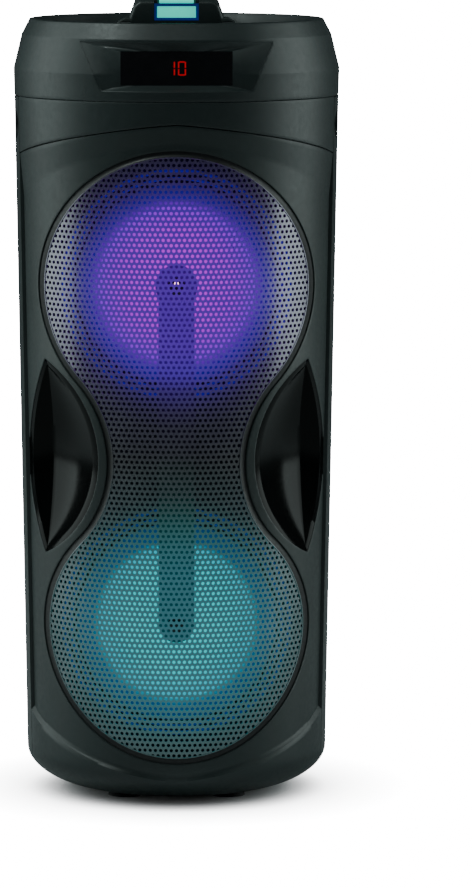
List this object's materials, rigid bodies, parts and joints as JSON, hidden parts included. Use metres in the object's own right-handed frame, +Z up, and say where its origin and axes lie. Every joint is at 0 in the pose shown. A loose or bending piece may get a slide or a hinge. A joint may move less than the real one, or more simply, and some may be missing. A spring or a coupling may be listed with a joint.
{
  "type": "party speaker",
  "caption": "Tall round portable party speaker with twin woofers behind a figure-eight grille, lit carrying handle, numeric display and rear jack panel.",
  "frame": {"origin": "centre of the footprint on the floor", "axes": "+Z up, the grille faces -Y, +X to the right of a person looking at the grille"},
  "size_m": [0.25, 0.2496, 0.613],
  "materials": {
    "shell": "satin moulded",
    "scoop": "gloss moulded",
    "grille_metal": "powder coated perforated sheet",
    "trim_black": "matte",
    "baffle_board": "black painted",
    "rubber": "matte",
    "window": "smoked gloss",
    "digit_red": "lit",
    "light_cyan": "lit diffuser",
    "light_violet": "lit diffuser",
    "light_teal": "lit diffuser",
    "cone_paper": "matte",
    "foam": "matte",
    "cloth": "woven",
    "coil": "satin",
    "steel": "satin",
    "ferrite": "matte",
    "basket_metal": "satin",
    "board": "satin",
    "battery": "gloss wrap",
    "knob": "satin",
    "button": "satin",
    "jack_metal": "polished",
    "screw": "black zinc"
  },
  "bodies": {
    "cabinet": {"amplifier_board": "board", "aux_jack": "jack_metal", "baffle": "baffle_board", "base_plate": "trim_black", "basket_lower": "basket_metal", "basket_upper": "basket_metal", "bass_port": "trim_black", "battery_pack": "battery", "bridge_lenses": "light_violet", "card_slot": "trim_black", "charge_inlet": "jack_metal", "control_board": "board", "control_panel": "shell", "display_digits": "digit_red", "display_module": "board", "display_window": "window", "front_shell": "shell", "grille": "grille_metal", "grille_frame": "trim_black", "handle": "shell", "handle_light": "light_cyan", "housing_screws": "screw", "jack_panel": "shell", "light_bridge": "trim_black", "light_ring_lower": "light_teal", "light_ring_upper": "light_violet", "magnet_lower": "ferrite", "magnet_upper": "ferrite", "mic_jack": "jack_metal", "panel_screws": "screw", "rear_shell": "shell", "rubber_feet": "rubber", "side_scoops": "scoop", "spider_lower": "cloth", "spider_upper": "cloth", "strap_sockets": "trim_black", "surround_lower": "foam", "surround_upper": "foam", "switch_housing": "trim_black", "top_cap": "shell", "top_plate_lower": "steel", "top_plate_upper": "steel", "usb_port": "jack_metal", "woofer_screws": "screw", "yoke_lower": "steel", "yoke_upper": "steel"},
    "upper_cone": {"cone_upper": "cone_paper", "dust_cap_upper": "cone_paper", "voice_coil_upper": "coil"},
    "lower_cone": {"cone_lower": "cone_paper", "dust_cap_lower": "cone_paper", "voice_coil_lower": "coil"},
    "volume_dial": {"volume_knob": "knob"},
    "mic_dial": {"mic_volume_knob": "knob"},
    "power_switch": {"power_rocker": "trim_black"},
    "mode_key": {"mode_button": "button"},
    "previous_key": {"previous_button": "button"},
    "play_key": {"play_button": "button"},
    "next_key": {"next_button": "button"},
    "light_key": {"light_button": "button"}
  },
  "joints": [
    {"name": "upper_cone_travel", "type": "slide", "parent": "cabinet", "child": "upper_cone", "axis": [0, -1, 0], "range_m": [-0.003, 0.003], "stiffness_N_per_m": 1500, "deforming": ["surround_upper", "spider_upper"]},
    {"name": "lower_cone_travel", "type": "slide", "parent": "cabinet", "child": "lower_cone", "axis": [0, -1, 0], "range_m": [-0.003, 0.003], "stiffness_N_per_m": 1500, "deforming": ["surround_lower", "spider_lower"]},
    {"name": "volume_turn", "type": "hinge", "parent": "cabinet", "child": "volume_dial", "pos_m": [-0.072, -0.026, 0.57], "axis": [0, 0, 1], "range_deg": [-140, 140]},
    {"name": "mic_turn", "type": "hinge", "parent": "cabinet", "child": "mic_dial", "pos_m": [-0.072, 0.026, 0.57], "axis": [0, 0, 1], "range_deg": [-140, 140]},
    {"name": "mode_press", "type": "slide", "parent": "cabinet", "child": "mode_key", "axis": [0, 0, 1], "range_m": [-0.0008, 0], "stiffness_N_per_m": 400},
    {"name": "previous_press", "type": "slide", "parent": "cabinet", "child": "previous_key", "axis": [0, 0, 1], "range_m": [-0.0008, 0], "stiffness_N_per_m": 400},
    {"name": "play_press", "type": "slide", "parent": "cabinet", "child": "play_key", "axis": [0, 0, 1], "range_m": [-0.0008, 0], "stiffness_N_per_m": 400},
    {"name": "next_press", "type": "slide", "parent": "cabinet", "child": "next_key", "axis": [0, 0, 1], "range_m": [-0.0008, 0], "stiffness_N_per_m": 400},
    {"name": "light_press", "type": "slide", "parent": "cabinet", "child": "light_key", "axis": [0, 0, 1], "range_m": [-0.0008, 0], "stiffness_N_per_m": 400},
    {"name": "power_rock", "type": "hinge", "parent": "cabinet", "child": "power_switch", "pos_m": [0.03, 0.106, 0.479], "axis": [1, 0, 0], "range_deg": [-9, 9]}
  ]
}
